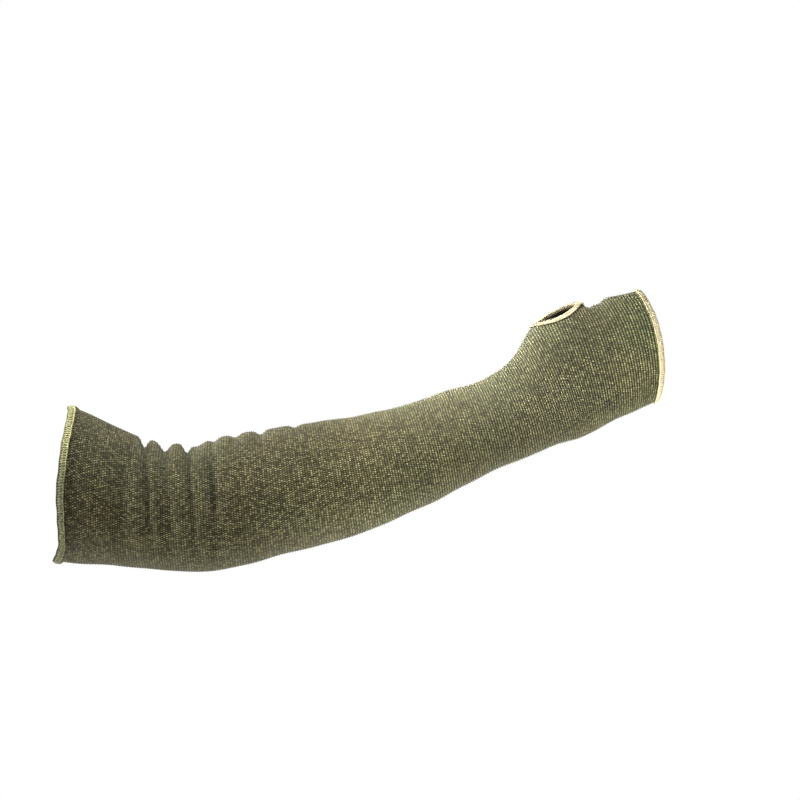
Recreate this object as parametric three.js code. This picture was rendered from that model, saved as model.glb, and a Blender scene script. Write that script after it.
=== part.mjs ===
// Knitted cut resistant arm sleeve with a thumb hole, in the shape that it has when worn.
// Millimetres, +Z up. +X runs along the arm to the hand, and the palm side faces -Y.
// The origin is the centre of the upper arm opening.
import * as THREE from 'three';

// Size as worn. Breadth is across the arm, depth goes from the palm side to the back
const sleeveLength = 457;
const upperArmBreadth = 114;
const upperArmDepth = 102;
const elbowBreadth = 95;
const elbowDepth = 90;
const wristBreadth = 64;
const wristDepth = 46;
const palmBreadth = 82;
const palmDepth = 37;

// Knit and the overlocked edge that wraps it at each opening
const fabricThickness = 1.6;
const hemThickness = 1;
const hemClearance = 0.42;
const upperArmHemReach = 3.6;
const handHemReach = 2.6;
const thumbHemReach = 2.6;

// Thumb hole, a slit along the thumb side. Its angles are half widths, to the palm side and to the back
const thumbHoleLength = 34;
const thumbHoleToHand = 39.5;
const thumbHolePalmAngle = 38;
const thumbHoleBackAngle = 16;

// Form of the surface
const sectionBow = 8.5;
const foldDepth = 7;
const foldWidth = 8;
const thumbMoundHeight = 3.5;

// Facets. The last three are shares of the fabric's length, between which the rings lie closer
const columnCount = 32;
const rimColumnShare = 0.012;
const thumbHoleSteps = 12;
const ringSpacing = 15;
const creaseRingSpacing = 6;
const foldRingSpacing = 2.6;
const foldsStart = 0.09;
const foldsEnd = 0.24;
const creasesEnd = 0.42;

const fabricLength = sleeveLength - 2 * (hemThickness + hemClearance);
const thumbHoleEnd = 1 - thumbHoleToHand / fabricLength;
const thumbHoleStart = thumbHoleEnd - thumbHoleLength / fabricLength;
const radians = THREE.MathUtils.degToRad;

const upperArm = { breadth: upperArmBreadth, depth: upperArmDepth };
const elbow = { breadth: elbowBreadth, depth: elbowDepth };
const wrist = { breadth: wristBreadth, depth: wristDepth };
const palm = { breadth: palmBreadth, depth: palmDepth };

// Sections from the upper arm to the hand. at is a share of the fabric's length. heading is the slope of
// the arm's centre line and lean that of the section's own axis, in degrees. breadth and depth are shares
// of the size in like, bow is a share of sectionBow, and square is 2 for an ellipse and more if fuller.
const sections = [
  { at: 0, heading: -10, lean: -4.6, like: upperArm, breadth: 1, depth: 1, bow: 0.35, square: 2 },
  { at: 0.045, heading: -13.5, lean: -2.8, like: upperArm, breadth: 0.95, depth: 0.96, bow: 0.2, square: 2 },
  { at: 0.09, heading: -15, lean: -1.5, like: upperArm, breadth: 0.882, depth: 0.92, bow: 0.05, square: 2 },
  { at: 0.13, heading: -11, lean: 0, like: elbow, breadth: 1.012, depth: 1.01, bow: 0, square: 2 },
  { at: 0.175, heading: -4.5, lean: 0.8, like: elbow, breadth: 0.985, depth: 1, bow: 0, square: 2 },
  { at: 0.225, heading: 5, lean: 2, like: elbow, breadth: 1, depth: 1, bow: 0, square: 2 },
  { at: 0.27, heading: 12.5, lean: 3, like: elbow, breadth: 1.022, depth: 0.98, bow: 0, square: 2 },
  { at: 0.35, heading: 11, lean: 5.5, like: elbow, breadth: 0.982, depth: 0.93, bow: 0.12, square: 2 },
  { at: 0.45, heading: 13, lean: 9.5, like: elbow, breadth: 0.915, depth: 0.85, bow: 0.18, square: 2 },
  { at: 0.55, heading: 19.5, lean: 12.6, like: wrist, breadth: 1.225, depth: 1.46, bow: 0.18, square: 2 },
  { at: 0.65, heading: 23.5, lean: 15.5, like: wrist, breadth: 1.09, depth: 1.2, bow: 0.24, square: 2.1 },
  { at: 0.72, heading: 22, lean: 17.3, like: wrist, breadth: 1.01, depth: 1, bow: 0.3, square: 2.2 },
  { at: 0.76, heading: 30, lean: 19, like: wrist, breadth: 1.06, depth: 0.97, bow: 0.35, square: 2.2 },
  { at: 0.8, heading: 40, lean: 21, like: wrist, breadth: 1.17, depth: 0.99, bow: 0.35, square: 2.2 },
  { at: 0.838, heading: 38, lean: 21.6, like: palm, breadth: 1.085, depth: 1.26, bow: 0.35, square: 2.3 },
  { at: 0.878, heading: 27, lean: 17.5, like: palm, breadth: 1.15, depth: 1.22, bow: 0.4, square: 2.3 },
  { at: 0.918, heading: 15, lean: 15.6, like: palm, breadth: 1.095, depth: 1.12, bow: 0.6, square: 2.4 },
  { at: 0.96, heading: 18, lean: 13.5, like: palm, breadth: 1.035, depth: 1.04, bow: 0.82, square: 2.4 },
  { at: 1, heading: 15, lean: 9.3, like: palm, breadth: 1, depth: 1, bow: 1, square: 2.4 },
];

// Folds that cross the sleeve. top and side are shares of foldDepth at the thumb side of the arm and at its
// two flanks, width is a share of foldWidth, and drift is how many fold widths it slants in a quarter turn.
const folds = [
  { at: 0.103, drift: 0, top: 0, side: 0.3, width: 0.75 },
  { at: 0.134, drift: 0.57, top: 0.95, side: 0.45, width: 0.36 },
  { at: 0.168, drift: 0.45, top: 1, side: 0.3, width: 0.7 },
  { at: 0.2045, drift: 0.57, top: 0.85, side: 0.5, width: 0.36 },
  { at: 0.221, drift: 0.23, top: 0.45, side: 0, width: 0.8 },
  { at: 0.251, drift: -0.11, top: 0.35, side: 0.6, width: 0.5 },
  { at: 0.288, drift: 0.23, top: 0.35, side: 0.25, width: 0.5 },
  { at: 0.332, drift: 0.23, top: 0.45, side: 0.12, width: 0.45 },
  { at: 0.392, drift: 0.23, top: 0.28, side: 0.08, width: 0.45 },
  { at: thumbHoleEnd + 0.011, drift: 0, top: 0.85, side: 0, width: 0.47 },
];
const foldTopSpread = 42;
const foldSideAngle = 85;
const foldSideSpread = 38;
const foldWideningAngle = 120;

// Fuller and hollow places on the palm side. angle and spread are degrees round the section from the thumb
// side, length is a share of the fabric's length and height a share of thumbMoundHeight.
const mounds = [
  { at: 0.855, angle: 50, length: 0.05, spread: 30, height: 1 },
  { at: 0.93, angle: 95, length: 0.05, spread: 35, height: -0.7 },
  { at: 0.905, angle: 145, length: 0.08, spread: 30, height: 0.45 },
];

// A smooth curve through one column of the sections, which goes on straight past both ends
function columnCurve(valueOf) {
  const values = sections.map(valueOf);
  const last = sections.length - 1;
  const gapAfter = (i) => sections[i + 1].at - sections[i].at;
  const gradeAfter = (i) => (values[i + 1] - values[i]) / gapAfter(i);
  const slopes = values.map((value, i) => {
    if (i === 0) return gradeAfter(0);
    if (i === last) return gradeAfter(last - 1);
    const weighted = gradeAfter(i - 1) * gapAfter(i) + gradeAfter(i) * gapAfter(i - 1);
    return weighted / (gapAfter(i - 1) + gapAfter(i));
  });
  return (share) => {
    if (share <= 0) return values[0] + share * slopes[0];
    if (share >= 1) return values[last] + (share - 1) * slopes[last];
    const next = sections.findIndex((section) => section.at > share);
    const gap = gapAfter(next - 1);
    const t = (share - sections[next - 1].at) / gap;
    const rise = 3 * t ** 2 - 2 * t ** 3;
    const leaving = (t ** 3 - 2 * t ** 2 + t) * slopes[next - 1];
    const arriving = (t ** 3 - t ** 2) * slopes[next];
    return values[next - 1] + rise * (values[next] - values[next - 1]) + gap * (leaving + arriving);
  };
}

const headingAt = columnCurve((section) => radians(section.heading));
const leanAt = columnCurve((section) => radians(section.lean));
const halfBreadthAt = columnCurve((section) => section.like.breadth * section.breadth / 2);
const halfDepthAt = columnCurve((section) => section.like.depth * section.depth / 2);
const bowAt = columnCurve((section) => section.bow * sectionBow);
const squareAt = columnCurve((section) => section.square);

// Centre line in the XZ plane, walked in short strides from the origin
const centreSteps = 1000;
const centreLine = [new THREE.Vector2(0, 0)];
for (let step = 0; step < centreSteps; step += 1) {
  const heading = headingAt((step + 0.5) / centreSteps);
  const stride = new THREE.Vector2(Math.cos(heading), Math.sin(heading));
  centreLine.push(stride.multiplyScalar(fabricLength / centreSteps).add(centreLine[step]));
}

function centreAt(share) {
  const step = THREE.MathUtils.clamp(Math.floor(share * centreSteps), 0, centreSteps - 1);
  return centreLine[step].clone().lerp(centreLine[step + 1], share * centreSteps - step);
}

const bell = (distance, spread) => Math.exp(-((distance / spread) ** 2));

// Height of the folds and mounds over the plain section. angle is in degrees, from -180 to 180
function reliefAt(share, angle) {
  const turned = Math.abs(angle);
  const onTop = bell(turned, foldTopSpread);
  const onSide = bell(turned - foldSideAngle, foldSideSpread);
  let height = 0;
  for (const fold of folds) {
    const middle = fold.at * fabricLength + fold.drift * foldWidth * angle / 90;
    const width = fold.width * foldWidth * (1 + turned / foldWideningAngle);
    const depth = foldDepth * (fold.top * onTop + fold.side * onSide);
    height -= depth * bell(share * fabricLength - middle, width);
  }
  for (const mound of mounds) {
    const lengthwise = bell(share - mound.at, mound.length);
    height += thumbMoundHeight * mound.height * lengthwise * bell(angle - mound.angle, mound.spread);
  }
  return height;
}

// Point on the knit's outer face. angle is in radians, from the thumb side round by the palm side
function facePoint(share, angle) {
  const sin = Math.sin(angle);
  const cos = Math.cos(angle);
  const halfBreadth = halfBreadthAt(share);
  const halfDepth = halfDepthAt(share);
  const power = 2 / squareAt(share);
  const outward = new THREE.Vector2(sin * halfBreadth, cos * halfDepth).normalize();
  const relief = reliefAt(share, THREE.MathUtils.radToDeg(Math.atan2(sin, cos)));
  const side = halfDepth * Math.sign(sin) * Math.abs(sin) ** power + outward.x * relief;
  const up = halfBreadth * Math.sign(cos) * Math.abs(cos) ** power + outward.y * relief;
  const ahead = bowAt(share) * sin ** 2;
  const lean = leanAt(share);
  const centre = centreAt(share);
  const x = centre.x + ahead * Math.cos(lean) - up * Math.sin(lean);
  const z = centre.y + ahead * Math.sin(lean) + up * Math.cos(lean);
  return new THREE.Vector3(x, -side, z);
}

// Directions on the outer face: per share of length, per radian round it, and straight out of it
function faceFrame(share, angle) {
  const shareStep = 0.0005;
  const angleStep = 0.002;
  const lengthwise = facePoint(share + shareStep, angle).sub(facePoint(share - shareStep, angle));
  const roundwise = facePoint(share, angle + angleStep).sub(facePoint(share, angle - angleStep));
  lengthwise.divideScalar(2 * shareStep);
  roundwise.divideScalar(2 * angleStep);
  const normal = roundwise.clone().cross(lengthwise).normalize();
  return { lengthwise, roundwise, normal };
}

function raisedPoint(share, angle, height) {
  return facePoint(share, angle).addScaledVector(faceFrame(share, angle).normal, height);
}

// Where the rings lie between two shares of the length, at most spacing apart, without the first
function ringsBetween(from, to, spacing) {
  const count = Math.max(1, Math.round((to - from) * fabricLength / spacing));
  return Array.from({ length: count }, (_, i) => ({ share: from + (to - from) * (i + 1) / count, turn: 0 }));
}

// Rings of the body. turn goes from 0 to 180 degrees along the thumb hole, which cuts the rings there
function bodyRings() {
  const spans = [
    { to: upperArmHemReach / fabricLength, spacing: upperArmHemReach },
    { to: foldsStart, spacing: ringSpacing },
    { to: foldsEnd, spacing: foldRingSpacing },
    { to: creasesEnd, spacing: creaseRingSpacing },
    { to: thumbHoleStart - thumbHemReach / fabricLength, spacing: ringSpacing },
    { to: thumbHoleStart, spacing: thumbHemReach },
  ];
  const rings = [{ share: 0, turn: 0 }];
  for (const span of spans) {
    rings.push(...ringsBetween(rings.at(-1).share, span.to, span.spacing));
  }
  for (let step = 1; step <= thumbHoleSteps; step += 1) {
    const turn = Math.PI * step / thumbHoleSteps;
    rings.push({ share: thumbHoleShare(turn), turn: step === thumbHoleSteps ? 0 : turn });
  }
  const handHemStart = 1 - handHemReach / fabricLength;
  rings.push(...ringsBetween(thumbHoleEnd, thumbHoleEnd + thumbHemReach / fabricLength, thumbHemReach));
  rings.push(...ringsBetween(rings.at(-1).share, handHemStart, creaseRingSpacing));
  rings.push(...ringsBetween(handHemStart, 1, handHemReach));
  return rings;
}

// The thumb hole's edge is an oval: its place along the sleeve, and its angle on each side of the thumb side
function thumbHoleShare(turn) {
  return (thumbHoleStart + thumbHoleEnd) / 2 - Math.cos(turn) * (thumbHoleEnd - thumbHoleStart) / 2;
}

function thumbHoleAngle(turn) {
  const widest = Math.sin(turn) > 0 ? thumbHolePalmAngle : thumbHoleBackAngle;
  return radians(widest) * Math.sin(turn);
}

// Angles of a ring's columns, from the palm side edge of the thumb hole round to its other edge
function columnAngles(turn) {
  const first = thumbHoleAngle(turn);
  const last = 2 * Math.PI + thumbHoleAngle(-turn);
  const even = (1 - 2 * rimColumnShare) / (columnCount - 2);
  const shares = [0];
  for (let column = 0; column <= columnCount - 2; column += 1) {
    shares.push(rimColumnShare + even * column);
  }
  shares.push(1);
  return shares.map((share) => first + (last - first) * share);
}

function geometryOf(points, triangles) {
  const geometry = new THREE.BufferGeometry().setFromPoints(points);
  geometry.setIndex(triangles);
  geometry.computeVertexNormals();
  return geometry;
}

// A wall from its outer face: the same face reversed on the inside, and a strip along every open edge
function wallGeometry(outer, inner, faces) {
  const triangles = faces.flat();
  const edges = new Set();
  for (const [a, b, c] of faces) {
    triangles.push(c + outer.length, b + outer.length, a + outer.length);
    for (const edge of [[a, b], [b, c], [c, a]]) edges.add(edge.join());
  }
  for (const edge of edges) {
    const [a, b] = edge.split(',').map(Number);
    if (edges.has(`${b},${a}`)) continue;
    triangles.push(b, a, a + outer.length);
    triangles.push(b, a + outer.length, b + outer.length);
  }
  return geometryOf([...outer, ...inner], triangles);
}

function sleeveBodyGeometry() {
  const outer = [];
  const inner = [];
  const grid = bodyRings().map(({ share, turn }) => {
    const angles = columnAngles(turn);
    if (turn === 0) angles.pop();
    const firstIndex = outer.length;
    for (const angle of angles) {
      outer.push(raisedPoint(share, angle, 0));
      inner.push(raisedPoint(share, angle, -fabricThickness));
    }
    return Array.from({ length: columnCount + 1 }, (_, column) => firstIndex + column % angles.length);
  });
  const faces = [];
  for (let ring = 0; ring < grid.length - 1; ring += 1) {
    for (let column = 0; column < columnCount; column += 1) {
      const [here, beside] = grid[ring].slice(column, column + 2);
      const [ahead, across] = grid[ring + 1].slice(column, column + 2);
      faces.push([here, beside, ahead], [beside, across, ahead]);
    }
  }
  return wallGeometry(outer, inner, faces);
}

// Channel section of a hem: past is how far beyond the fabric's edge, height is over its outer face
function hemSection(reach) {
  const tip = hemClearance + hemThickness;
  const floor = -fabricThickness - hemClearance;
  const bevel = 0.6 * hemThickness;
  const taper = 0.4 * hemThickness;
  return [
    { past: taper - reach, height: floor - hemThickness },
    { past: tip - bevel, height: floor - hemThickness },
    { past: tip, height: floor - hemThickness + bevel },
    { past: tip, height: tip - bevel },
    { past: tip - bevel, height: tip },
    { past: taper - reach, height: tip },
    { past: -reach, height: hemClearance },
    { past: hemClearance, height: hemClearance },
    { past: hemClearance, height: floor },
    { past: -reach, height: floor },
  ];
}

// Sweeps the channel round an opening. The rim is a closed row of places on the fabric's edge, with the
// fabric on the right of the way that it runs, seen from outside.
function hemGeometry(rim, reach) {
  const section = hemSection(reach);
  const points = [];
  rim.forEach(({ share, angle }, place) => {
    const before = rim.at(place - 1);
    const after = rim[(place + 1) % rim.length];
    const runs = facePoint(after.share, after.angle).sub(facePoint(before.share, before.angle));
    const { lengthwise, roundwise, normal } = faceFrame(share, angle);
    const out = normal.clone().cross(runs).normalize();
    const skew = lengthwise.dot(roundwise);
    const area = lengthwise.lengthSq() * roundwise.lengthSq() - skew ** 2;
    const shareOut = (out.dot(lengthwise) * roundwise.lengthSq() - out.dot(roundwise) * skew) / area;
    const angleOut = (out.dot(roundwise) * lengthwise.lengthSq() - out.dot(lengthwise) * skew) / area;
    for (const { past, height } of section) {
      points.push(raisedPoint(share + past * shareOut, angle + past * angleOut, height));
    }
  });
  const triangles = [];
  rim.forEach((_, place) => {
    section.forEach((__, corner) => {
      const nextCorner = (corner + 1) % section.length;
      const here = place * section.length;
      const ahead = ((place + 1) % rim.length) * section.length;
      triangles.push(here + corner, here + nextCorner, ahead + corner);
      triangles.push(here + nextCorner, ahead + nextCorner, ahead + corner);
    });
  });
  return geometryOf(points, triangles);
}

const roundRim = columnAngles(0).slice(0, -1);
const upperArmRim = roundRim.map((angle) => ({ share: 0, angle })).reverse();
const handRim = roundRim.map((angle) => ({ share: 1, angle }));
const thumbRim = Array.from({ length: 2 * thumbHoleSteps }, (_, step) => {
  const turn = Math.PI * step / thumbHoleSteps;
  return { share: thumbHoleShare(turn), angle: thumbHoleAngle(turn) };
});

const knit = new THREE.MeshStandardMaterial({ color: 0x6d6851, roughness: 0.95, metalness: 0 });
const overlockThread = new THREE.MeshStandardMaterial({ color: 0xdfd3ac, roughness: 0.85, metalness: 0 });

function namedMesh(name, geometry, material) {
  const mesh = new THREE.Mesh(geometry, material);
  mesh.name = name;
  return mesh;
}

const sleeve = new THREE.Group();
sleeve.add(
  namedMesh('sleeve_body', sleeveBodyGeometry(), knit),
  namedMesh('upper_arm_hem', hemGeometry(upperArmRim, upperArmHemReach), overlockThread.clone()),
  namedMesh('hand_hem', hemGeometry(handRim, handHemReach), overlockThread.clone()),
  namedMesh('thumb_hem', hemGeometry(thumbRim, thumbHemReach), overlockThread.clone()),
);

export default sleeve;
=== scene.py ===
import math

import bpy
import numpy as np
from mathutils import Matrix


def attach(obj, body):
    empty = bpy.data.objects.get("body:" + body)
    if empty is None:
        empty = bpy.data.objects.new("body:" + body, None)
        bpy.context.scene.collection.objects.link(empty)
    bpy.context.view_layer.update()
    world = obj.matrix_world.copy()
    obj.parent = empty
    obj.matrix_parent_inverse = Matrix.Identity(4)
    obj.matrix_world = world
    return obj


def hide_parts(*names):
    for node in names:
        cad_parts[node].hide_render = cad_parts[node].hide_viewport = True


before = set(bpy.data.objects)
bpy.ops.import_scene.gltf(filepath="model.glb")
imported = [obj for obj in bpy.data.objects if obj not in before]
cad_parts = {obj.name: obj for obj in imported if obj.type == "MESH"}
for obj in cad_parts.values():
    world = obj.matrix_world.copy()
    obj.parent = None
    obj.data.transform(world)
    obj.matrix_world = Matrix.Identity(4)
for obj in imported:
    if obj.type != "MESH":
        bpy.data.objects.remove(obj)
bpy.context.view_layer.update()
print("frame loaded")

# The sleeve as worn, in metres: its length, the knit's thickness and the room that each hem takes past the edge
sleeve = {
    "length": 0.457,
    "thickness": 0.0016,
    "hemPast": 0.00142,
    "upperArm": (0.114, 0.102),
    "elbow": (0.095, 0.090),
    "wrist": (0.064, 0.046),
    "palm": (0.082, 0.037),
    "bow": 0.0085,
    "foldDepth": 0.007,
    "foldWidth": 0.008,
    "moundHeight": 0.0035,
}
thumbHole = {"length": 0.034, "toHand": 0.0395, "palmAngle": 38, "backAngle": 16}
fabricLength = sleeve["length"] - 2 * sleeve["hemPast"]
thumbEnd = 1 - thumbHole["toHand"] / fabricLength
thumbStart = thumbEnd - thumbHole["length"] / fabricLength

# share of the length, heading and lean in degrees, size it follows, breadth, depth and bow shares, squareness
sections = [
    (0, -10, -4.6, "upperArm", 1, 1, 0.35, 2),
    (0.045, -13.5, -2.8, "upperArm", 0.95, 0.96, 0.2, 2),
    (0.09, -15, -1.5, "upperArm", 0.882, 0.92, 0.05, 2),
    (0.13, -11, 0, "elbow", 1.012, 1.01, 0, 2),
    (0.175, -4.5, 0.8, "elbow", 0.985, 1, 0, 2),
    (0.225, 5, 2, "elbow", 1, 1, 0, 2),
    (0.27, 12.5, 3, "elbow", 1.022, 0.98, 0, 2),
    (0.35, 11, 5.5, "elbow", 0.982, 0.93, 0.12, 2),
    (0.45, 13, 9.5, "elbow", 0.915, 0.85, 0.18, 2),
    (0.55, 19.5, 12.6, "wrist", 1.225, 1.46, 0.18, 2),
    (0.65, 23.5, 15.5, "wrist", 1.09, 1.2, 0.24, 2.1),
    (0.72, 22, 17.3, "wrist", 1.01, 1, 0.3, 2.2),
    (0.76, 30, 19, "wrist", 1.06, 0.97, 0.35, 2.2),
    (0.8, 40, 21, "wrist", 1.17, 0.99, 0.35, 2.2),
    (0.838, 38, 21.6, "palm", 1.085, 1.26, 0.35, 2.3),
    (0.878, 27, 17.5, "palm", 1.15, 1.22, 0.4, 2.3),
    (0.918, 15, 15.6, "palm", 1.095, 1.12, 0.6, 2.4),
    (0.96, 18, 13.5, "palm", 1.035, 1.04, 0.82, 2.4),
    (1, 15, 9.3, "palm", 1, 1, 1, 2.4),
]

# share of the length, slant in fold widths per quarter turn, depth on top and at the flanks, width
folds = [
    (0.103, 0, 0, 0.5, 0.6),
    (0.134, 0.57, 0.95, 0.65, 0.36),
    (0.168, 0.45, 1, 0.55, 0.55),
    (0.2045, 0.57, 0.85, 0.7, 0.36),
    (0.221, 0.23, 0.45, 0, 0.8),
    (0.251, -0.11, 0.35, 0.8, 0.45),
    (0.288, 0.23, 0.35, 0.25, 0.5),
    (0.332, 0.23, 0.45, 0.12, 0.45),
    (0.392, 0.23, 0.28, 0.08, 0.45),
    (thumbEnd + 0.011, 0, 0.85, 0, 0.47),
    (thumbEnd + 0.026, 0.1, 0.55, 0, 0.48),
]
foldSpread = {"top": 42, "sideAngle": 85, "side": 40, "widening": 190}

# share of the length, angle, length, spread, height
mounds = [
    (0.855, 50, 0.05, 30, 1),
    (0.93, 95, 0.05, 35, -0.7),
    (0.905, 145, 0.08, 30, 0.45),
]

# the upper arm's edge waves to and from its plane: angle from the thumb side, spread, distance towards the hand
edgeWaves = [(26, 20, 0.0026), (87, 24, -0.001), (138, 24, 0.0034), (180, 14, -0.0015)]
edgeWaveFade = 0.05


# Smooth curve through one column of the sections, straight on past both ends
def sectionCurve(values):
    at = np.array([row[0] for row in sections], float)
    value = np.array(values, float)
    gap = np.diff(at)
    grade = np.diff(value) / gap
    slope = np.empty_like(value)
    slope[0], slope[-1] = grade[0], grade[-1]
    slope[1:-1] = (grade[:-1] * gap[1:] + grade[1:] * gap[:-1]) / (gap[:-1] + gap[1:])

    def curve(share):
        share = np.asarray(share, float)
        i = np.clip(np.searchsorted(at, share, side="right") - 1, 0, len(gap) - 1)
        t = np.clip((share - at[i]) / gap[i], 0, 1)
        rise = 3 * t**2 - 2 * t**3
        leaving = (t**3 - 2 * t**2 + t) * slope[i]
        arriving = (t**3 - t**2) * slope[i + 1]
        inside = value[i] + rise * (value[i + 1] - value[i]) + gap[i] * (leaving + arriving)
        past = np.where(share > 1, (share - 1) * slope[-1], np.minimum(share, 0) * slope[0])
        return inside + past

    return curve


headingAt = sectionCurve([math.radians(row[1]) for row in sections])
leanAt = sectionCurve([math.radians(row[2]) for row in sections])
halfBreadthAt = sectionCurve([sleeve[row[3]][0] * row[4] / 2 for row in sections])
halfDepthAt = sectionCurve([sleeve[row[3]][1] * row[5] / 2 for row in sections])
bowAt = sectionCurve([row[6] * sleeve["bow"] for row in sections])
squareAt = sectionCurve([row[7] for row in sections])

strideCount = 1000
strideHeading = headingAt((np.arange(strideCount) + 0.5) / strideCount)
stride = fabricLength / strideCount
centreX = np.concatenate([[0], np.cumsum(np.cos(strideHeading) * stride)])
centreZ = np.concatenate([[0], np.cumsum(np.sin(strideHeading) * stride)])


def centreAt(share):
    i = np.clip(np.floor(share * strideCount).astype(int), 0, strideCount - 1)
    t = share * strideCount - i
    x = centreX[i] + t * (centreX[i + 1] - centreX[i])
    z = centreZ[i] + t * (centreZ[i + 1] - centreZ[i])
    return x, z


def bell(distance, spread):
    return np.exp(-((distance / spread) ** 2))


# Height of folds and mounds over the plain section, angle in degrees from -180 to 180
def reliefAt(share, angle):
    turned = np.abs(angle)
    onTop = bell(turned, foldSpread["top"])
    onSide = bell(turned - foldSpread["sideAngle"], foldSpread["side"])
    height = np.zeros(np.broadcast(share, angle).shape)
    for at, drift, top, side, width in folds:
        middle = at * fabricLength + drift * sleeve["foldWidth"] * angle / 90
        reach = width * sleeve["foldWidth"] * (1 + turned / foldSpread["widening"])
        depth = sleeve["foldDepth"] * (top * onTop + side * onSide)
        height = height - depth * bell(share * fabricLength - middle, reach)
    for at, middle, length, spread, rise in mounds:
        height = height + sleeve["moundHeight"] * rise * bell(share - at, length) * bell(angle - middle, spread)
    return height


# Point on the knit's outer face. The angle is in radians, from the thumb side round by the palm side
def facePoint(share, angle):
    sin, cos = np.sin(angle), np.cos(angle)
    halfBreadth, halfDepth = halfBreadthAt(share), halfDepthAt(share)
    power = 2 / squareAt(share)
    outSide, outUp = sin * halfBreadth, cos * halfDepth
    size = np.hypot(outSide, outUp)
    relief = reliefAt(share, np.degrees(np.arctan2(sin, cos)))
    side = halfDepth * np.sign(sin) * np.abs(sin) ** power + outSide / size * relief
    up = halfBreadth * np.sign(cos) * np.abs(cos) ** power + outUp / size * relief
    ahead = bowAt(share) * sin**2
    turned = np.degrees(np.arccos(np.clip(cos, -1, 1)))
    for middle, spread, distance in edgeWaves:
        ahead = ahead + distance * bell(turned - middle, spread) * bell(share, edgeWaveFade)
    lean = leanAt(share)
    x, z = centreAt(share)
    x = x + ahead * np.cos(lean) - up * np.sin(lean)
    z = z + ahead * np.sin(lean) + up * np.cos(lean)
    return np.stack([x, -side, z], -1)


def unit(vector):
    return vector / np.linalg.norm(vector, axis=-1, keepdims=True)


# Directions on the face: per share of the length, per radian round it, and straight out of it
def faceFrame(share, angle):
    shareStep, angleStep = 0.0005, 0.002
    lengthwise = (facePoint(share + shareStep, angle) - facePoint(share - shareStep, angle)) / (2 * shareStep)
    roundwise = (facePoint(share, angle + angleStep) - facePoint(share, angle - angleStep)) / (2 * angleStep)
    return lengthwise, roundwise, unit(np.cross(roundwise, lengthwise))


def raisedPoint(share, angle, height):
    normal = faceFrame(share, angle)[2]
    return facePoint(share, angle) + normal * np.asarray(height)[..., None]


def thumbShare(turn):
    return (thumbStart + thumbEnd) / 2 - np.cos(turn) * (thumbEnd - thumbStart) / 2


def thumbAngle(turn):
    widest = np.where(np.sin(turn) > 0, thumbHole["palmAngle"], thumbHole["backAngle"])
    return np.radians(widest) * np.sin(turn)


# The four corners of each cell of a grid
def quads(grid):
    return np.stack([grid[:-1, :-1], grid[:-1, 1:], grid[1:, 1:], grid[1:, :-1]], 2)


def addObject(name, points, faces, corners, *materials):
    mesh = bpy.data.meshes.new(name)
    mesh.from_pydata(points.tolist(), [], faces)
    uvLayer = mesh.uv_layers.new(name="stitches")
    uvLayer.data.foreach_set("uv", np.asarray(corners, np.float32).ravel())
    mesh.polygons.foreach_set("use_smooth", np.ones(len(faces), bool))
    for material in materials:
        mesh.materials.append(material)
    mesh.update()
    piece = bpy.data.objects.new(name, mesh)
    bpy.context.scene.collection.objects.link(piece)
    return piece


# Small builder for shader nodes: a number is set on a socket, and another socket is linked to it
class Shader:
    def __init__(self, name):
        self.material = bpy.data.materials.new(name)
        self.material.use_nodes = True
        self.nodes = self.material.node_tree.nodes
        self.links = self.material.node_tree.links
        self.surface = self.nodes["Principled BSDF"]

    def put(self, socket, value):
        if isinstance(value, bpy.types.NodeSocket):
            self.links.new(value, socket)
        else:
            socket.default_value = value

    def add(self, kind, **inputs):
        node = self.nodes.new(kind)
        for name, value in inputs.items():
            self.put(node.inputs[name], value)
        return node

    def math(self, operation, first, second=0.0, third=0.0):
        node = self.nodes.new("ShaderNodeMath")
        node.operation = operation
        for socket, value in zip(node.inputs, (first, second, third)):
            self.put(socket, value)
        return node.outputs[0]

    def combine(self, x, y, z=0.0):
        return self.add("ShaderNodeCombineXYZ", X=x, Y=y, Z=z).outputs[0]

    def grey(self, value):
        return self.combine(value, value, value)

    def stretched(self, x, y, scales):
        return self.combine(self.math("MULTIPLY", x, scales[0]), self.math("MULTIPLY", y, scales[1]))

    def split(self, vector):
        return self.add("ShaderNodeSeparateXYZ", Vector=vector).outputs

    def stitchUv(self):
        node = self.add("ShaderNodeUVMap")
        node.uv_map = "stitches"
        return self.split(node.outputs[0])

    def noise(self, place, scale, detail=0.0):
        return self.add("ShaderNodeTexNoise", Vector=place, Scale=scale, Detail=detail).outputs[0]

    def spread(self, value, low, high, lowOut=0.0, highOut=1.0):
        node = self.nodes.new("ShaderNodeMapRange")
        for socket, number in zip(node.inputs, (value, low, high, lowOut, highOut)):
            self.put(socket, number)
        return node.outputs[0]

    def mix(self, share, first, second, blend="MIX"):
        node = self.nodes.new("ShaderNodeMix")
        node.data_type = "RGBA"
        node.blend_type = blend
        self.put(node.inputs[0], share)
        self.put(node.inputs[6], first)
        self.put(node.inputs[7], second)
        return node.outputs[2]

    def multiply(self, first, second):
        return self.mix(1.0, first, second, "MULTIPLY")

    def ramp(self, value, stops):
        node = self.nodes.new("ShaderNodeValToRGB")
        self.put(node.inputs[0], value)
        elements = node.color_ramp.elements
        while len(elements) < len(stops):
            elements.new(0.5)
        for element, (at, colour) in zip(elements, stops):
            element.position = at
            element.color = (*colour, 1)
        return node.outputs[0]

    def bump(self, height, settings):
        node = self.add("ShaderNodeBump", Height=height, Strength=settings["bump"], Distance=settings["bumpHeight"])
        return node.outputs[0]

    def setSurface(self, colour, normal, values):
        self.put(self.surface.inputs["Base Color"], colour)
        self.put(self.surface.inputs["Normal"], normal)
        for name, value in values.items():
            self.surface.inputs[name].default_value = value


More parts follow.
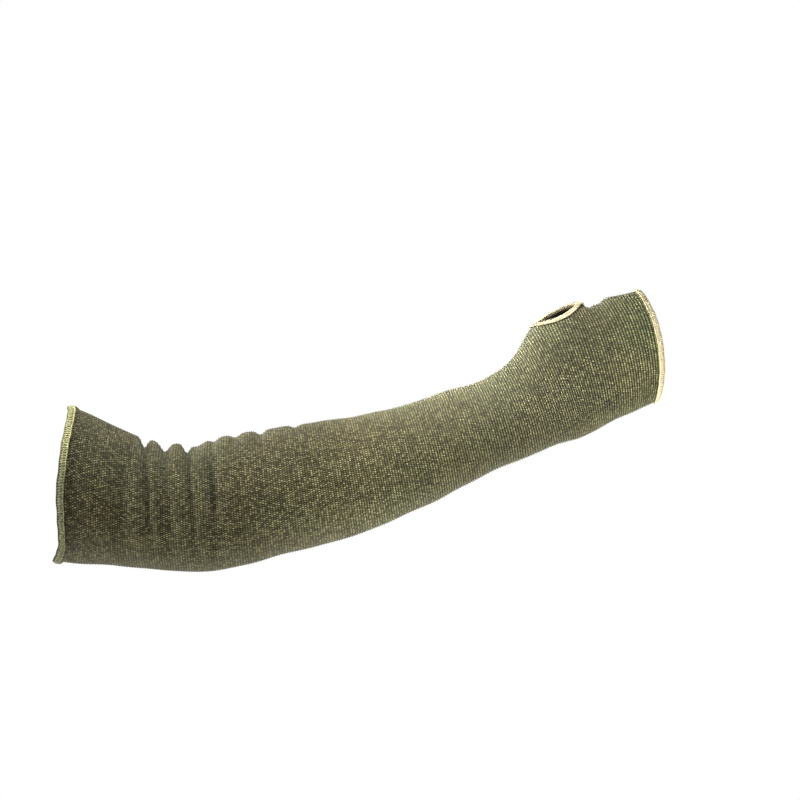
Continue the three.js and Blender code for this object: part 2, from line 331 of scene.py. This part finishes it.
# The knit: courses run round the arm and wales along it, every second course half a stitch over
knit = {
    "courses": 248,
    "halfWales": 352,
    "columns": 80,
    "rimColumn": 0.004,
    "innerRings": 8,
    "innerFoldRings": 4,
    "foldsEnd": 0.26,
    "ridge": 0.00048,
    "uneven": 0.0003,
    # share of the length, and how far the gaps between courses open there as the knit stretches: it sets the
    # ridges' height and how much painted shade lies in the gaps
    "ribsAndGapShade": [(0.0, 0.5), (0.25, 0.64), (0.5, 0.8), (0.7, 1.0), (1.0, 1.0)],
    "gapShadeStrength": 1.27,
    "domeAcross": 1.2,
    "domeAlong": 0.6,
    # what goes into a stitch's tone: its own chance, plies that come up for a while, and fibres
    "chanceShare": 0.36,
    "plyShare": 0.12,
    "plyStretch": (0.8, 7.31),
    "plyRange": (0.3, 0.7),
    "fibreShare": 0.22,
    "fibreStretch": (3.3, 3.1),
    "fibreDetail": 2.0,
    "fibreRange": (0.25, 0.75),
    "fibreBump": 0.35,
    "meanTone": 0.35,
    # two shares of the length and the values there: pale and dark stitches by turns, and contrast
    "turns": (0.5, 0.75, 0.3, 0.14),
    "contrast": (0.35, 0.8, 1.5, 1.15),
    # dark yarn to cream fleck, by a stitch's own tone
    "yarns": [
        (0.0, (0.016, 0.014, 0.005)),
        (0.25, (0.050, 0.045, 0.019)),
        (0.5, (0.145, 0.135, 0.063)),
        (0.75, (0.34, 0.33, 0.17)),
        (1.0, (0.80, 0.78, 0.48)),
    ],
    # painted shade in the gaps between stitches
    "gap": (0.05, 0.048, 0.035, 1),
    # share of the length, and the yarn's tint there, with painted light and shade: darker towards the upper arm and
    # brighter near the hand, standing in for the light falling off along the sleeve
    "tintAndPaintedLight": [
        (0.0, (0.345, 0.325, 0.265)),
        (0.3, (0.51, 0.485, 0.41)),
        (0.5, (0.83, 0.79, 0.69)),
        (0.64, (0.70, 0.68, 0.59)),
        (0.88, (0.68, 0.68, 0.60)),
        (0.95, (0.86, 0.88, 0.78)),
        (0.985, (0.84, 0.90, 0.74)),
    ],
    # soft patches of colour, and of brightness
    "brown": (1.03, 0.985, 0.95, 1),
    "green": (0.97, 1.01, 0.98, 1),
    "castScale": 26.0,
    "castDetail": 2.0,
    "castRange": (0.35, 0.65),
    "patchScale": 60.0,
    "patchDetail": 3.0,
    "patchRange": (0.3, 0.7, 0.94, 1.06),
    # painted shade in the folds: the yarn is darkened down in a fold, most at this angle from the thumb side
    "paintedCreaseShadeStrength": 0.5,
    "paintedCreaseShadeAngle": 50,
    "paintedCreaseShadeSpread": 35,
    "bump": 0.5,
    "bumpHeight": 0.0004,
    "surface": {
        "Roughness": 0.92,
        "Sheen Weight": 0.18,
        "Sheen Roughness": 0.5,
        "Sheen Tint": (0.95, 0.93, 0.75, 1),
        "Specular IOR Level": 0.2,
    },
}


def makeKnit():
    s = Shader("marled_knit")
    roundwise, lengthwise, _ = s.stitchUv()
    course = s.math("MULTIPLY", lengthwise, float(knit["courses"]))
    row = s.math("FLOOR", course)
    across = s.math("FRACT", course)
    wale = s.math("MULTIPLY_ADD", roundwise, float(knit["halfWales"]), s.math("FLOORED_MODULO", row, 2.0))
    column = s.math("FLOOR", wale)
    along = s.math("FRACT", wale)

    # each stitch is a small dome, and the gap to its neighbours is darkened with painted shade
    domeAcross = s.math("POWER", s.math("SINE", s.math("MULTIPLY", across, math.pi)), knit["domeAcross"])
    domeAlong = s.math("POWER", s.math("SINE", s.math("MULTIPLY", along, math.pi)), knit["domeAlong"])
    dome = s.math("MULTIPLY", domeAcross, domeAlong)

    # tone of the stitch's yarn
    chance = s.add("ShaderNodeTexWhiteNoise", Vector=s.combine(column, row)).outputs[0]
    ply = s.spread(s.noise(s.stretched(wale, row, knit["plyStretch"]), 1.0), *knit["plyRange"])
    fibre = s.noise(s.stretched(wale, course, knit["fibreStretch"]), 1.0, knit["fibreDetail"])
    fibre = s.spread(fibre, *knit["fibreRange"])
    tone = s.math("MULTIPLY", chance, knit["chanceShare"])
    tone = s.math("MULTIPLY_ADD", ply, knit["plyShare"], tone)
    tone = s.math("MULTIPLY_ADD", fibre, knit["fibreShare"], tone)
    turns = s.math("SUBTRACT", s.math("FLOORED_MODULO", column, 2.0), 0.5)
    tone = s.math("MULTIPLY_ADD", turns, s.spread(lengthwise, *knit["turns"]), tone)
    tone = s.math("SUBTRACT", tone, knit["meanTone"])
    tone = s.math("MULTIPLY", tone, s.spread(lengthwise, *knit["contrast"]))
    yarn = s.ramp(s.math("ADD", tone, 0.5), knit["yarns"])

    # painted shade in the gaps between stitches, more where the courses open
    ribsAndGapShade = s.ramp(lengthwise, [(at, (value, value, value)) for at, value in knit["ribsAndGapShade"]])
    gapShadeShare = s.math("MULTIPLY", s.math("SUBTRACT", 1.0, dome), ribsAndGapShade)
    gapShadeShare = s.math("MULTIPLY", gapShadeShare, knit["gapShadeStrength"])
    colour = s.mix(gapShadeShare, yarn, s.multiply(yarn, knit["gap"]))
    # tint and painted light along the length of the sleeve
    colour = s.multiply(colour, s.ramp(lengthwise, knit["tintAndPaintedLight"]))

    place = s.add("ShaderNodeTexCoord").outputs["Object"]
    cast = s.spread(s.noise(place, knit["castScale"], knit["castDetail"]), *knit["castRange"])
    colour = s.multiply(colour, s.mix(cast, knit["brown"], knit["green"]))
    patchesAndPaintedShade = s.spread(s.noise(place, knit["patchScale"], knit["patchDetail"]), *knit["patchRange"])
    # painted shade in the folds, read from a point attribute, is multiplied into the soft brightness patches
    paintedCreaseShade = s.add("ShaderNodeAttribute")
    paintedCreaseShade.attribute_name = "paintedCreaseShade"
    patchesAndPaintedShade = s.math("MULTIPLY", patchesAndPaintedShade, s.math("SUBTRACT", 1.0, paintedCreaseShade.outputs["Fac"]))
    colour = s.multiply(colour, s.grey(patchesAndPaintedShade))

    bump = s.bump(s.math("MULTIPLY_ADD", fibre, knit["fibreBump"], dome), knit)
    s.setSurface(colour, bump, knit["surface"])
    return s.material


def ribbingAt(share):
    return np.interp(share, *zip(*knit["ribsAndGapShade"]))


# slight unevenness that the folds' table leaves out: how fast it runs along the sleeve and round it, and its start
unevenWaves = ((31, 2, 0.3), (47, -3, 1.9), (23, 4, 4.1), (67, 1, 2.7), (89, -2, 5.2))


def unevenAt(share, angle):
    total = sum(np.sin(along * share + turns * angle + start) for along, turns, start in unevenWaves)
    return knit["uneven"] * total / 2


# the ridges fade out under the hems, in metres from the mouths and in sizes of the thumb hole
ridgeFade = {
    "fromEdge": 0.003,
    "overEdge": 0.002,
    "holeLength": 1.12,
    "holeWidth": 0.8,
    "fromHole": 0.85,
    "overHole": 0.2,
}


def buildBody():
    quarter = 0.25  # of a course, from one ring of points to the next
    knotShares = [0, thumbStart, thumbEnd, 1]
    knotCourses = [round(share * knit["courses"] / quarter) * quarter for share in knotShares]
    courses = np.arange(0, knit["courses"] + quarter / 2, quarter)
    shares = np.interp(courses, knotCourses, knotShares)
    ringCount, columns = len(courses), knit["columns"]
    first, last = (int(round(c / quarter)) for c in knotCourses[1:3])

    # columns go from one edge of the thumb hole round to the other
    middle, half = (thumbStart + thumbEnd) / 2, (thumbEnd - thumbStart) / 2
    turn = np.arccos(np.clip((middle - shares) / half, -1, 1))
    turn[: first + 1] = 0
    turn[last:] = 0
    even = np.linspace(knit["rimColumn"], 1 - knit["rimColumn"], columns - 1)
    columnShares = np.concatenate([[0], even, [1]])
    start, end = thumbAngle(turn), 2 * math.pi + thumbAngle(-turn)
    angle = start[:, None] + (end - start)[:, None] * columnShares
    share = np.repeat(shares[:, None], columns + 1, axis=1)
    uvLengthwise = np.repeat(courses[:, None], columns + 1, axis=1) / knit["courses"]
    uv = np.stack([angle / (2 * math.pi), uvLengthwise], -1)

    fromThumb = np.minimum(angle, 2 * math.pi - angle)
    toEdge = np.minimum(share, 1 - share) * fabricLength
    clear = np.clip((toEdge - ridgeFade["fromEdge"]) / ridgeFade["overEdge"], 0, 1)
    holeLong = (share - middle) / (half * ridgeFade["holeLength"])
    nearHole = np.hypot(holeLong, np.sin(fromThumb) / ridgeFade["holeWidth"])
    clear = clear * np.clip((nearHole - ridgeFade["fromHole"]) / ridgeFade["overHole"], 0, 1)
    ridge = -np.cos(2 * math.pi * courses)[:, None] * knit["ridge"] * ribbingAt(share)
    outer = raisedPoint(share, angle, (ridge + unevenAt(share, angle)) * clear)

    step = np.where(shares < knit["foldsEnd"], knit["innerFoldRings"], knit["innerRings"])
    rings = sorted({r for r in range(ringCount) if r % step[r] == 0} | {first, last, ringCount - 1})
    inner = raisedPoint(share[rings], angle[rings], -sleeve["thickness"])

    def closedIndex(base, closed):
        index = base + np.arange(len(closed) * (columns + 1)).reshape(len(closed), columns + 1)
        index[closed, -1] = index[closed, 0]
        return index

    closed = turn == 0
    outerIndex = closedIndex(0, closed)
    innerIndex = closedIndex(outerIndex.size, closed[rings])

    faces = quads(outerIndex).reshape(-1, 4).tolist()
    corners = quads(uv).reshape(-1, 2).tolist()
    faces += quads(innerIndex)[:, :, ::-1].reshape(-1, 4).tolist()
    corners += quads(uv[rings])[:, :, ::-1].reshape(-1, 2).tolist()

    # walls between the two faces: at both mouths, then at both sides of the thumb hole
    def addWall(path):
        faces.append([int(index[at]) for index, at, _ in path])
        corners.extend(uv[ring, at[1]].tolist() for _, at, ring in path)

    lastRing = ringCount - 1
    for c in range(columns):
        outside = [(outerIndex, (0, at), 0) for at in (c + 1, c)]
        addWall(outside + [(innerIndex, (0, at), 0) for at in (c, c + 1)])
        outside = [(outerIndex, (lastRing, at), lastRing) for at in (c, c + 1)]
        addWall(outside + [(innerIndex, (-1, at), lastRing) for at in (c + 1, c)])
    for i, (a, b) in enumerate(zip(rings[:-1], rings[1:])):
        if first <= a and b <= last:
            near = [(outerIndex, (r, 0), r) for r in range(a, b + 1)]
            addWall(near + [(innerIndex, (i + 1, 0), b), (innerIndex, (i, 0), a)])
            far = [(outerIndex, (r, columns), r) for r in range(b, a - 1, -1)]
            addWall(far + [(innerIndex, (i, columns), a), (innerIndex, (i + 1, columns), b)])

    # leave out the doubled points of closed rings
    points = np.concatenate([outer.reshape(-1, 3), inner.reshape(-1, 3)])
    used = np.zeros(len(points), bool)
    for face in faces:
        used[face] = True
    number = np.cumsum(used) - 1
    faces = [[int(number[p]) for p in face] for face in faces]
    piece = addObject("sleeve_knit", points[used], faces, corners, makeKnit())

    # painted shade in the folds, for the material: how far each point lies down in a fold, most at an angle from
    # the thumb side
    signed = np.degrees(np.arctan2(np.sin(angle), np.cos(angle)))
    depth = np.clip(-reliefAt(share, signed) / sleeve["foldDepth"], 0, 1)
    depth = depth * knit["paintedCreaseShadeStrength"] * bell(np.degrees(fromThumb) - knit["paintedCreaseShadeAngle"], knit["paintedCreaseShadeSpread"])
    paintedCreaseShade = np.concatenate([depth.ravel(), np.zeros(inner.size // 3)])[used]
    piece.data.attributes.new("paintedCreaseShade", "FLOAT", "POINT").data.foreach_set("value", paintedCreaseShade.astype(np.float32))
    return piece


body = buildBody()
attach(body, "root")
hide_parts("sleeve_body")
print("knit body built:", len(body.data.polygons), "faces")


# Overlocked edges: a soft roll over the knit's edge, wrapped by thread. Pitch and thread grow with the coarseness
hemForm = {
    "outerHeight": 0.00062,
    "innerHeight": 0.00062,
    "fabricGap": 0.0001,
    "tip": 0.00098,
    "pitch": 0.00118,
    "thread": 0.00031,
    "slant": 0.9,
    "wobble": 0.00022,
    "threadSides": 5,
    "pathPoints": 18,
    "threadLift": 0.7,  # in radii of the thread
    "pastRoll": 0.0001,
    "startJitter": 0.12,  # in pitches
    "pastJitter": 0.00008,
    "rollStep": 0.0012,
    "rollPoints": 15,
    "rollUv": 0.13,
    "chainSteps": 6,  # for each wrap
    "chainLift": 1.3,  # in radii of the thread
    "chainSwing": 0.00022,
    "chainSize": 0.85,  # in radii of the thread
    "tipSway": 0.00012,
}
# light and dark of the thread, how far the dark mixes in, and painted light: its brightness at the low and high end
# of a hem, darker low down and brighter on top as if lit from above
creamThread = {"light": (0.56, 0.485, 0.30, 1), "dark": (0.39, 0.33, 0.18, 1), "mottle": 0.25, "ends": (1, 1)}
# painted shade: the cream thread made darker all over for the thumb hole, where the lamps close by fall brightly
shadedCreamThread = {**creamThread, "ends": (0.56, 0.56)}
oliveThread = {"light": (0.66, 0.65, 0.33, 1), "dark": (0.07, 0.066, 0.026, 1), "mottle": 0.6, "ends": (0.41, 1.05)}
loopThread = {"light": (0.05, 0.046, 0.022, 1), "dark": (0.02, 0.018, 0.009, 1), "mottle": 0.5, "ends": (1, 4)}
thread = {
    "twist": 2.2,
    "plySharpness": 0.5,
    "plyGrooveShade": 0.6,
    "wearScale": 520.0,
    "wearDetail": 3.0,
    "wearRange": (0.35, 0.68),
    # painted light: heights over which the thread goes from its low-end to its high-end brightness
    "paintedLightHeights": (0.008, 0.036),  # where the low and the high end of a hem begin
    "bump": 0.4,
    "bumpHeight": 0.0002,
    "surface": {"Roughness": 0.8, "Sheen Weight": 0.15, "Specular IOR Level": 0.25},
}


def makeThread(name, colours):
    s = Shader(name)
    along, roundwise, _ = s.stitchUv()
    # two plies twisted round each other, with painted shade in the grooves between them
    phase = s.math("MULTIPLY_ADD", along, thread["twist"], roundwise)
    ply = s.math("ABSOLUTE", s.math("SINE", s.math("MULTIPLY", phase, 2 * math.pi)))
    place = s.add("ShaderNodeTexCoord").outputs["Object"]
    worn = s.spread(s.noise(place, thread["wearScale"], thread["wearDetail"]), *thread["wearRange"])
    # painted shade in the grooves between plies, with the thread's wear mottle added
    shade = s.math("SUBTRACT", 1.0, s.math("POWER", ply, thread["plySharpness"]))
    shade = s.math("MULTIPLY", shade, thread["plyGrooveShade"])
    shade = s.math("MULTIPLY_ADD", worn, colours["mottle"], shade)
    colour = s.mix(shade, colours["light"], colours["dark"])
    # painted light: the thread darker low on a hem and brighter high on it
    paintedLight = s.spread(s.split(place)[2], *thread["paintedLightHeights"], *colours["ends"])
    s.setSurface(s.multiply(colour, s.grey(paintedLight)), s.bump(ply, thread), thread["surface"])
    return s.material


class Rim:
    # The knit's edge round one opening, measured along its length, with the knit on its right seen from outside
    def __init__(self, share, angle, reach):
        self.reach = reach
        point = facePoint(share, angle)
        runs = np.roll(point, -1, 0) - np.roll(point, 1, 0)
        lengthwise, roundwise, normal = faceFrame(share, angle)
        out = unit(np.cross(normal, runs))
        skew = (lengthwise * roundwise).sum(1)
        longest, widest = (lengthwise**2).sum(1), (roundwise**2).sum(1)
        area = longest * widest - skew**2
        outLong, outRound = (out * lengthwise).sum(1), (out * roundwise).sum(1)
        shareOut = (outLong * widest - outRound * skew) / area
        angleOut = (outRound * longest - outLong * skew) / area
        steps = np.linalg.norm(np.roll(point, -1, 0) - point, axis=1)
        self.along = np.concatenate([[0], np.cumsum(steps)])
        self.length = self.along[-1]
        turned = np.unwrap(angle)
        onceRound = round((turned[-1] - turned[0]) / (2 * math.pi)) * 2 * math.pi
        self.columns = [
            np.append(share, share[0]),
            np.append(turned, turned[0] + onceRound),
            np.append(shareOut, shareOut[0]),
            np.append(angleOut, angleOut[0]),
        ]

    def point(self, along, past, height):
        lap = np.floor(along / self.length)
        at = along - lap * self.length
        share, angle, shareOut, angleOut = (np.interp(at, self.along, column) for column in self.columns)
        return raisedPoint(share + past * shareOut, angle + past * angleOut, height)


# Where a thread lies on the edge's section: w runs from the inner face round the tip to the outer face
def wrapSection(w, reach, lift=0.0):
    outer = hemForm["outerHeight"] + lift
    inner = -sleeve["thickness"] - hemForm["innerHeight"] - lift
    radius = (outer - inner) / 2
    tip = hemForm["tip"] + lift - radius
    straight = tip + reach
    arc = math.pi * radius
    run = w * (2 * straight + arc)
    turned = np.clip((run - straight) / radius, 0, math.pi)
    past = np.where(run < straight, run - reach, tip + np.sin(turned) * radius)
    past = np.where(run > straight + arc, tip - (run - straight - arc), past)
    height = (outer + inner) / 2 - np.cos(turned) * radius
    return past, height


offAxis = (0.31, 0.83, 0.46)  # slanted to all three axes, to turn the tubes' sections by


# A tube along each row of points, with its own UV: millimetres along it, and once round
def tubes(paths, radius, sides, closed=False):
    count, steps = paths.shape[:2]
    if closed:
        ahead = np.roll(paths, -1, 1) - np.roll(paths, 1, 1)
    else:
        ahead = np.gradient(paths, axis=1)
    ahead = unit(ahead)
    side = unit(np.cross(ahead, offAxis))
    up = np.cross(side, ahead)
    turn = 2 * math.pi * np.arange(sides) / sides
    ring = np.cos(turn)[:, None] * side[:, :, None] + np.sin(turn)[:, None] * up[:, :, None]
    points = paths[:, :, None] + radius * ring
    index = np.arange(count * steps * sides).reshape(count, steps, sides)
    if closed:
        index = np.concatenate([index, index[:, :1]], 1)
    index = np.concatenate([index, index[:, :, :1]], 2)
    faces = np.stack([index[:, :-1, :-1], index[:, :-1, 1:], index[:, 1:, 1:], index[:, 1:, :-1]], 3)
    gaps = np.linalg.norm(np.diff(paths, axis=1), axis=2).mean() * 1000
    u = np.arange(index.shape[1]) * gaps
    v = np.arange(sides + 1) / sides
    grid = np.stack(np.broadcast_arrays(u[:, None], v[None, :]), -1)
    cell = quads(grid)
    corners = np.broadcast_to(cell, (count, *cell.shape))
    caps = [] if closed else [index[:, 0, :-1][:, ::-1], index[:, -1, :-1]]
    faceList = faces.reshape(-1, 4).tolist()
    cornerList = corners.reshape(-1, 2).tolist()
    for cap in caps:
        for face in cap.tolist():
            faceList.append(face)
            cornerList += [[0.0, 0.0]] * sides
    return points.reshape(-1, 3), faceList, cornerList


def join(parts):
    points, faces, corners, base = [], [], [], 0
    for partPoints, partFaces, partCorners in parts:
        points.append(partPoints)
        faces += [[base + i for i in face] for face in partFaces]
        corners += partCorners
        base += len(partPoints)
    return np.concatenate(points), faces, corners


# Soft wander along a rim that closes on itself, from -1 to 1
def wander(along, length, seed):
    phase = 2 * math.pi * along / length
    return (np.sin(5 * phase + seed) + np.sin(11 * phase + 2.3 * seed) + np.sin(23 * phase + 3.7 * seed)) / 3


# The roll under the thread: outside it follows the section, inside it has a slot for the knit's edge
def rollMesh(rim, seed, wobble):
    stations = int(rim.length / hemForm["rollStep"])
    along = np.arange(stations) / stations * rim.length
    outside = hemForm["rollPoints"]
    past, height = wrapSection(np.linspace(0, 1, outside), rim.reach)
    gap = hemForm["fabricGap"]
    under = -sleeve["thickness"] - gap
    past = np.concatenate([past, [-rim.reach, gap, gap, -rim.reach]])
    height = np.concatenate([height, [gap, gap, under, under]])
    loose = wobble * wander(along, rim.length, seed)[:, None] * np.ones(len(past))
    loose[:, outside:] = 0
    points = rim.point(along[:, None], past[None, :] + loose, np.broadcast_to(height, loose.shape))
    index = np.arange(stations * len(past)).reshape(stations, len(past))
    index = np.concatenate([index, index[:1]], 0)
    index = np.concatenate([index, index[:, :1]], 1)
    faces = quads(index).reshape(-1, 4)
    corners = np.zeros((len(faces) * 4, 2))
    corners[:, 0] = np.repeat(np.arange(len(faces)), 4) * hemForm["rollUv"]
    return points.reshape(-1, 3), faces.tolist(), corners.tolist()


def buildHem(name, rim, hem):
    seed, wobble = hem["seed"], hemForm["wobble"] * hem["waviness"]
    radius = hemForm["thread"] * hem["coarseness"]
    wraps = int(round(rim.length / (hemForm["pitch"] * hem["coarseness"])))
    pitch = rim.length / wraps
    chance = np.random.default_rng(seed)
    startJitter, pastJitter = hemForm["startJitter"], hemForm["pastJitter"]
    starts = (np.arange(wraps) + chance.uniform(-startJitter, startJitter, wraps)) * pitch
    w = np.linspace(0.0, 1.0, hemForm["pathPoints"])
    past, height = wrapSection(w, rim.reach + hemForm["pastRoll"], radius * hemForm["threadLift"])
    loose = wobble * wander(starts, rim.length, seed)[:, None]
    along = starts[:, None] + hemForm["slant"] * pitch * (w - 0.5)
    past = past[None, :] + loose + chance.uniform(-pastJitter, pastJitter, (wraps, 1))
    paths = rim.point(along, past, np.broadcast_to(height, along.shape))
    parts = [rollMesh(rim, seed, wobble), tubes(paths, radius, hemForm["threadSides"])]

    # chains that hold the wraps, by place on the section: on the outer face, on the inner face and along the tip
    flat = {"swing": hemForm["chainSwing"], "rise": 0, "sway": 0, "size": hemForm["chainSize"]}
    tip = {"swing": 0, "rise": hem["loopSwing"], "sway": hemForm["tipSway"], "size": hem["loopSize"]}
    steps = wraps * hemForm["chainSteps"]
    chainAlong = np.arange(steps) / steps * rim.length
    beat = 2 * math.pi * chainAlong / pitch
    loose = wobble * wander(chainAlong, rim.length, seed)
    for place, form in ((1.0, flat), (0.0, flat), (0.5, tip)):
        past, height = wrapSection(np.full(steps, place), rim.reach, hemForm["chainLift"] * radius)
        past = past + loose + form["swing"] * np.sin(beat) + form["sway"] * np.cos(2 * beat)
        height = height + form["rise"] * np.sin(beat)
        chain = rim.point(chainAlong, past, height)
        parts.append(tubes(chain[None], radius * form["size"], hemForm["threadSides"], closed=True))

    points, faces, corners = join(parts)
    materials = makeThread(name, hem["thread"]), makeThread(name + "_loops", hem["loops"])
    piece = addObject(name, points, faces, corners, *materials)
    slots = np.zeros(len(faces), np.int32)
    slots[-len(parts[-1][1]) :] = 1  # the chain along the tip
    piece.data.polygons.foreach_set("material_index", slots)
    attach(piece, "root")
    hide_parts(hem["node"])
    print(name, "built:", wraps, "wraps,", len(piece.data.polygons), "faces")


rimTurn = np.arange(1200) / 1200 * 2 * math.pi

# the upper arm's edge is wavier, in coarser olive thread with dark loops along its tip
upperArmHem = {
    "node": "upper_arm_hem",
    "reach": 0.0026,
    "thread": oliveThread,
    "loops": loopThread,
    "coarseness": 1.7,
    "loopSwing": 0.0006,
    "loopSize": 1.45,
    "waviness": 2.2,
    "seed": 3,
}
buildHem("upper_arm_overlock", Rim(np.zeros(rimTurn.size), -rimTurn, upperArmHem["reach"]), upperArmHem)

handHem = {
    "node": "hand_hem",
    "reach": 0.0021,
    "thread": creamThread,
    "loops": creamThread,
    "coarseness": 1.2,
    "loopSwing": 0.00035,
    "loopSize": 0.85,
    "waviness": 1.2,
    "seed": 7,
}
buildHem("hand_overlock", Rim(np.ones(rimTurn.size), rimTurn, handHem["reach"]), handHem)

thumbHem = {
    "node": "thumb_hem",
    "reach": 0.0024,
    "thread": shadedCreamThread,
    "loops": shadedCreamThread,
    "coarseness": 1.1,
    "loopSwing": 0.00035,
    "loopSize": 0.85,
    "waviness": 1,
    "seed": 11,
}
buildHem("thumb_overlock", Rim(thumbShare(rimTurn), thumbAngle(rimTurn), thumbHem["reach"]), thumbHem)


# Studio: white surround, a pale floor below the view, a soft key above the upper arm and small lamps close by
studio = {
    "floorHeight": -0.45,
    "floorSize": 3.2,
    "floorColour": (0.86, 0.86, 0.85, 1),
    "floorRoughness": 0.9,
    "surround": 0.16,
    # place, aim, size, power and spread in degrees
    "lights": {
        "key": ((-1.2, -0.6, 2.6), (0.25, 0.0, 0.05), 0.9, 84, 180),
        "arm": ((0.3, -0.1, 0.65), (0.13, 0.0, 0.02), 0.3, 0.75, 60),
        "side": ((-0.7, -0.36, 0.10), (0.15, 0.0, 0.0), 0.2, 7.0, 180),
        "wrist": ((0.13, -0.14, 0.27), (0.35, 0.0, 0.085), 0.1, 0.42, 50),
        "front": ((0.42, -0.55, 0.08), (0.36, 0.0, 0.07), 0.35, 0.12, 120),
        "low": ((0.50, -0.25, -0.20), (0.41, 0.0, 0.055), 0.25, 1.42, 110),
        "back": ((-0.8, 1.1, 0.5), (0.2, 0.0, 0.04), 0.6, 7, 100),
    },
}
view = {"x": 0.2465, "z": 0.0619, "distance": 2.5, "width": 0.58672, "sensor": 36}


def addLight(name, place, aim, size, power, spread):
    lamp = bpy.data.lights.new(name, "AREA")
    lamp.shape = "DISK"
    lamp.size = size
    lamp.energy = power
    lamp.spread = math.radians(spread)
    light = bpy.data.objects.new(name, lamp)
    bpy.context.scene.collection.objects.link(light)
    light.location = place
    toAim = np.array(aim) - np.array(place)
    flat = math.hypot(toAim[0], toAim[1])
    light.rotation_euler = (math.atan2(flat, -toAim[2]), 0, math.atan2(-toAim[0], toAim[1]))


for name, settings in studio["lights"].items():
    addLight(name, *settings)

floorMesh = bpy.data.meshes.new("floor")
half = studio["floorSize"] / 2
floorMesh.from_pydata([(-half, -half, 0), (half, -half, 0), (half, half, 0), (-half, half, 0)], [], [(0, 1, 2, 3)])
floor = bpy.data.objects.new("floor", floorMesh)
bpy.context.scene.collection.objects.link(floor)
floor.location = (view["x"], 0, studio["floorHeight"])
paper = Shader("pale_floor")
paper.surface.inputs["Base Color"].default_value = studio["floorColour"]
paper.surface.inputs["Roughness"].default_value = studio["floorRoughness"]
floorMesh.materials.append(paper.material)

# the surround is seen as plain white and lights the sleeve less than that
world = bpy.data.worlds.new("surround")
bpy.context.scene.world = world
world.use_nodes = True
background = world.node_tree.nodes["Background"]
background.inputs["Color"].default_value = (1, 1, 1, 1)
seen = world.node_tree.nodes.new("ShaderNodeLightPath")
strength = world.node_tree.nodes.new("ShaderNodeMapRange")
strength.inputs["To Min"].default_value = studio["surround"]
strength.inputs["To Max"].default_value = 1.0
world.node_tree.links.new(seen.outputs["Is Camera Ray"], strength.inputs["Value"])
world.node_tree.links.new(strength.outputs[0], background.inputs["Strength"])

camera = bpy.data.objects.new("camera", bpy.data.cameras.new("camera"))
bpy.context.scene.collection.objects.link(camera)
camera.data.sensor_width = view["sensor"]
camera.data.lens = view["sensor"] * view["distance"] / view["width"]
camera.location = (view["x"], -view["distance"], view["z"])
camera.rotation_euler = (math.radians(90), 0, 0)
bpy.context.scene.camera = camera
bpy.context.scene.view_settings.view_transform = "Standard"
print("studio ready")
